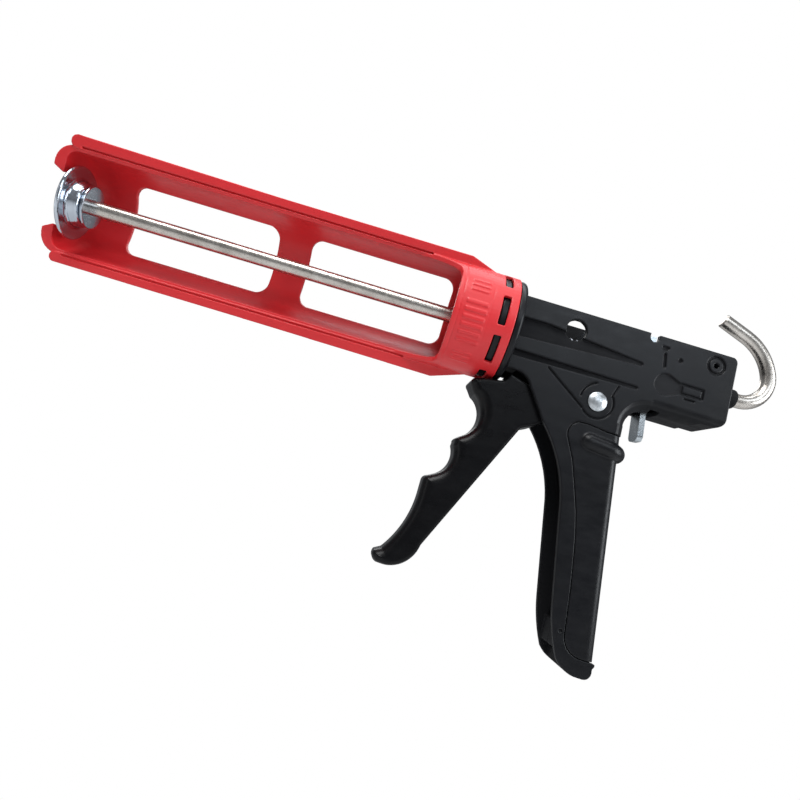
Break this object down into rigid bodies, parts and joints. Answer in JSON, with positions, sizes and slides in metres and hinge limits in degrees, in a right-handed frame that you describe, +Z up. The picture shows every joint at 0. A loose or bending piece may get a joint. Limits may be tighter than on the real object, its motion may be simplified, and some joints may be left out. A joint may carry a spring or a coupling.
{
  "type": "caulking gun",
  "caption": "Hand caulking gun: half-shell cradle that turns on its hub, trigger-driven push rod with plunger disc and rear hook, release plate.",
  "frame": {"origin": "on the push rod's axis, just in front of the black ring that the cradle's collar seats on", "axes": "+X along the push rod from the nozzle end to the hook, +Z up with the handle pointing down, +Y to the tool's right-hand side seen from the front of the trough; the trigger moves in the XZ plane"},
  "size_m": [0.4121, 0.059, 0.2106],
  "materials": {
    "red_plastic": "satin moulded",
    "black_plastic": "fine moulded texture",
    "trigger_plastic": "fine moulded texture",
    "rod_steel": "zinc plated, drawn",
    "plunger_chrome": "polished",
    "rivet_steel": "domed, satin",
    "zinc_steel": "bright zinc plated",
    "spring_steel": "drawn wire",
    "bearing_steel": "turned"
  },
  "bodies": {
    "housing": {"swivel_hub": "black_plastic", "front_bushing": "bearing_steel", "body_left": "black_plastic", "body_right": "black_plastic", "grip_cover": "black_plastic", "rear_bushing": "black_plastic", "body_screws": "zinc_steel", "cover_screw": "zinc_steel", "pivot_rivet": "rivet_steel", "spring_washer": "zinc_steel", "drive_spring": "spring_steel", "release_spring": "spring_steel"},
    "cradle": {"cradle": "red_plastic"},
    "plunger": {"plunger_disc": "plunger_chrome", "plunger_boss": "plunger_chrome"},
    "rod": {"push_rod": "rod_steel", "rod_circlip": "spring_steel"},
    "trigger": {"trigger": "trigger_plastic", "trigger_bush": "bearing_steel", "push_pin": "zinc_steel"},
    "drive": {"drive_plates": "zinc_steel"},
    "release": {"release_plate": "zinc_steel"}
  },
  "joints": [
    {"name": "cradle_turn", "type": "hinge", "parent": "housing", "child": "cradle", "pos_m": [0, 0, 0], "axis": [1, 0, 0], "continuous": true},
    {"name": "rod_slide", "type": "slide", "parent": "housing", "child": "plunger", "axis": [1, 0, 0], "range_m": [0, 0.218]},
    {"name": "rod_turn", "type": "hinge", "parent": "plunger", "child": "rod", "pos_m": [0, 0, 0], "axis": [1, 0, 0], "continuous": true},
    {"name": "trigger_squeeze", "type": "hinge", "parent": "housing", "child": "trigger", "pos_m": [0.0562, 0, -0.0267], "axis": [0, -1, 0], "range_deg": [0, 28], "stiffness_Nm_per_rad": 0.6, "springref_deg": -28.65, "deforming": ["drive_spring"]},
    {"name": "drive_feed", "type": "slide", "parent": "housing", "child": "drive", "axis": [-1, 0, 0], "range_m": [0, 0.0074]},
    {"name": "release_tilt", "type": "hinge", "parent": "housing", "child": "release", "pos_m": [0.0836, 0, 0.0185], "axis": [0, 1, 0], "range_deg": [0, 5], "stiffness_Nm_per_rad": 1.5, "springref_deg": -6.88, "deforming": ["release_spring"]}
  ],
  "couplings": [
    {"joint": "drive_feed", "follows": "trigger_squeeze", "m_per_rad": 0.015}
  ]
}
